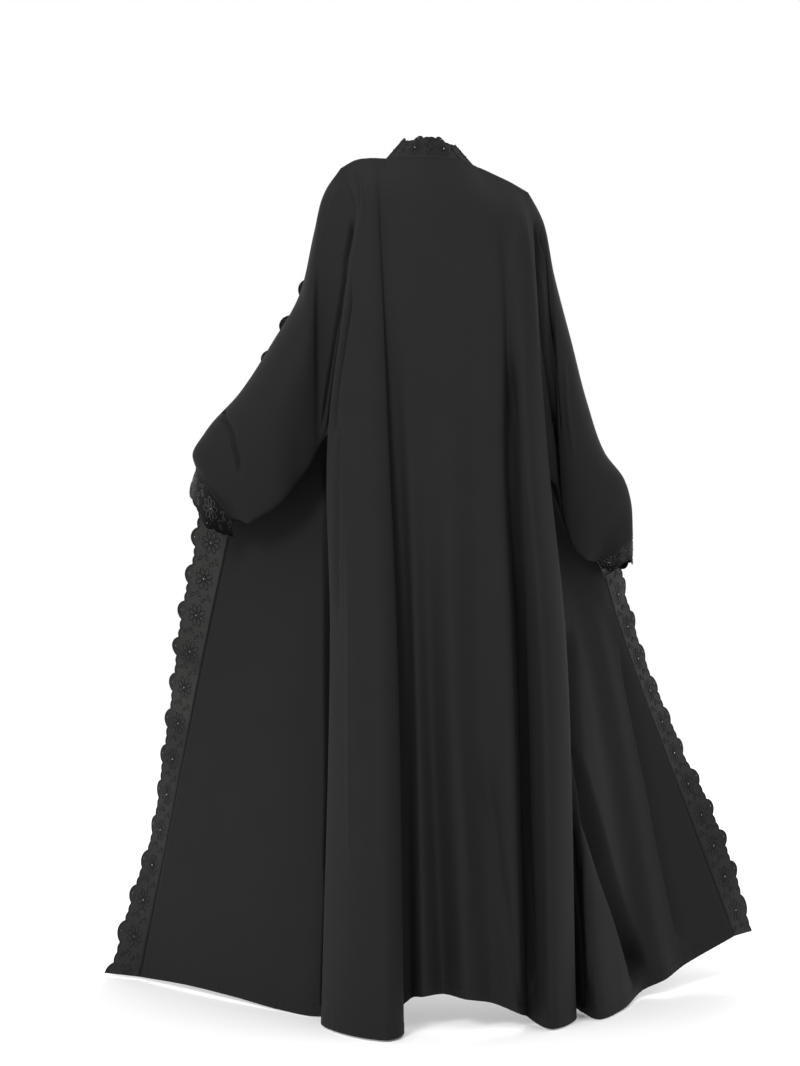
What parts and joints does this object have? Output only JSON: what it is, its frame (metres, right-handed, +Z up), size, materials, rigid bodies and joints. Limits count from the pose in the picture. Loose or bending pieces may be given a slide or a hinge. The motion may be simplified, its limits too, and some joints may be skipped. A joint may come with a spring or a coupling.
{
  "type": "worn open-front abaya cloak",
  "caption": "Floor-length open-front cloak with wide sleeves and scalloped sheer trims at neck, cuffs and front edges, worn hollow with its fronts held open.",
  "frame": {"origin": "base of the wearer's neck, midway between the shoulder seams, where the shoulders carry the garment; the floor is 1.560 m below", "axes": "+Z up, +X towards the wearer's left, the wearer faces -Y"},
  "size_m": [1.3161, 0.6635, 1.6284],
  "materials": {
    "crepe": "matte black crepe with a soft sheen",
    "sheer_trim": "sheer black mesh with matte black embroidery"
  },
  "bodies": {
    "root": {"back": "crepe", "front_left": "crepe", "front_right": "crepe", "sleeve_left": "crepe", "sleeve_right": "crepe", "trim_front_left": "sheer_trim", "trim_front_right": "sheer_trim", "trim_cuff_left": "sheer_trim", "trim_cuff_right": "sheer_trim", "trim_neck": "sheer_trim"}
  },
  "joints": []
}
